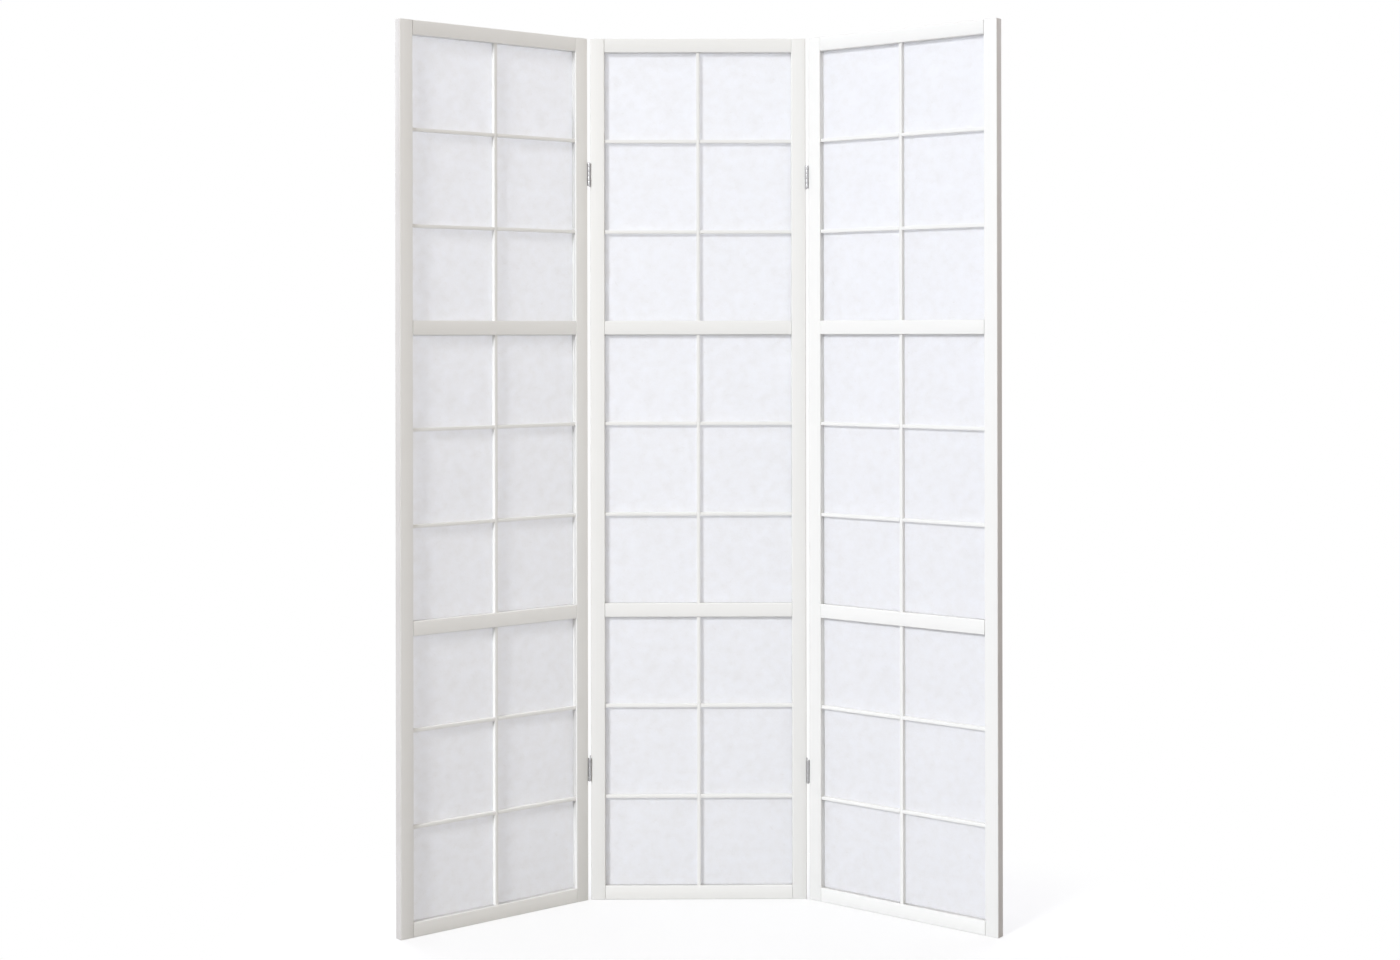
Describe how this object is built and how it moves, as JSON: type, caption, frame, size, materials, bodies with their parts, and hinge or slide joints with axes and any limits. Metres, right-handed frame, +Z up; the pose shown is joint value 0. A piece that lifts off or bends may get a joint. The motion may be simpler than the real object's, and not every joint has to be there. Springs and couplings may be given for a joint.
{
  "type": "folding screen",
  "caption": "Free-standing hinged folding screen of equal painted wooden panels, each a stick lattice backed with translucent paper, with wings that fold forward and back.",
  "frame": {"origin": "on the floor, at the middle of the underside of the centre panel's bottom rail", "axes": "+Z up, -Y towards the front that the lattice faces, +X to the right seen from the front"},
  "size_m": [1.1828, 0.304, 1.79],
  "materials": {
    "painted_wood": "satin warm white paint",
    "shoji_paper": "matt translucent fibrous paper, cool white",
    "hinge_steel": "satin grey steel"
  },
  "bodies": {
    "centre_panel": {"centre_left_stile": "painted_wood", "centre_right_stile": "painted_wood", "centre_top_rail": "painted_wood", "centre_upper_mid_rail": "painted_wood", "centre_lower_mid_rail": "painted_wood", "centre_bottom_rail": "painted_wood", "centre_upright_stick": "painted_wood", "centre_upper_cross_stick_1": "painted_wood", "centre_upper_cross_stick_2": "painted_wood", "centre_upper_paper": "shoji_paper", "centre_middle_cross_stick_1": "painted_wood", "centre_middle_cross_stick_2": "painted_wood", "centre_middle_paper": "shoji_paper", "centre_lower_cross_stick_1": "painted_wood", "centre_lower_cross_stick_2": "painted_wood", "centre_lower_paper": "shoji_paper", "left_upper_hinge_inner_leaf": "hinge_steel", "left_lower_hinge_inner_leaf": "hinge_steel", "right_upper_hinge_inner_leaf": "hinge_steel", "right_lower_hinge_inner_leaf": "hinge_steel"},
    "left_link": {"left_upper_hinge_link": "hinge_steel", "left_lower_hinge_link": "hinge_steel"},
    "left_wing": {"left_wing_outer_stile": "painted_wood", "left_wing_inner_stile": "painted_wood", "left_wing_top_rail": "painted_wood", "left_wing_upper_mid_rail": "painted_wood", "left_wing_lower_mid_rail": "painted_wood", "left_wing_bottom_rail": "painted_wood", "left_wing_upright_stick": "painted_wood", "left_wing_upper_cross_stick_1": "painted_wood", "left_wing_upper_cross_stick_2": "painted_wood", "left_wing_upper_paper": "shoji_paper", "left_wing_middle_cross_stick_1": "painted_wood", "left_wing_middle_cross_stick_2": "painted_wood", "left_wing_middle_paper": "shoji_paper", "left_wing_lower_cross_stick_1": "painted_wood", "left_wing_lower_cross_stick_2": "painted_wood", "left_wing_lower_paper": "shoji_paper", "left_upper_hinge_outer_leaf": "hinge_steel", "left_lower_hinge_outer_leaf": "hinge_steel"},
    "right_link": {"right_upper_hinge_link": "hinge_steel", "right_lower_hinge_link": "hinge_steel"},
    "right_wing": {"right_wing_inner_stile": "painted_wood", "right_wing_outer_stile": "painted_wood", "right_wing_top_rail": "painted_wood", "right_wing_upper_mid_rail": "painted_wood", "right_wing_lower_mid_rail": "painted_wood", "right_wing_bottom_rail": "painted_wood", "right_wing_upright_stick": "painted_wood", "right_wing_upper_cross_stick_1": "painted_wood", "right_wing_upper_cross_stick_2": "painted_wood", "right_wing_upper_paper": "shoji_paper", "right_wing_middle_cross_stick_1": "painted_wood", "right_wing_middle_cross_stick_2": "painted_wood", "right_wing_middle_paper": "shoji_paper", "right_wing_lower_cross_stick_1": "painted_wood", "right_wing_lower_cross_stick_2": "painted_wood", "right_wing_lower_paper": "shoji_paper", "right_upper_hinge_outer_leaf": "hinge_steel", "right_lower_hinge_outer_leaf": "hinge_steel"}
  },
  "joints": [
    {"name": "left_rear_pin", "type": "hinge", "parent": "centre_panel", "child": "left_link", "pos_m": [-0.22545, 0.0122, 0], "axis": [0, 0, -1], "range_deg": [0, 90]},
    {"name": "left_front_pin", "type": "hinge", "parent": "left_link", "child": "left_wing", "pos_m": [-0.22675, -0.0122, 0], "axis": [0, 0, 1], "range_deg": [-38.5, 141.5]},
    {"name": "right_rear_pin", "type": "hinge", "parent": "centre_panel", "child": "right_link", "pos_m": [0.22545, 0.0122, 0], "axis": [0, 0, 1], "range_deg": [0, 180]},
    {"name": "right_front_pin", "type": "hinge", "parent": "right_link", "child": "right_wing", "pos_m": [0.22675, -0.0122, 0], "axis": [0, 0, -1], "range_deg": [-38.5, 51.5]}
  ]
}
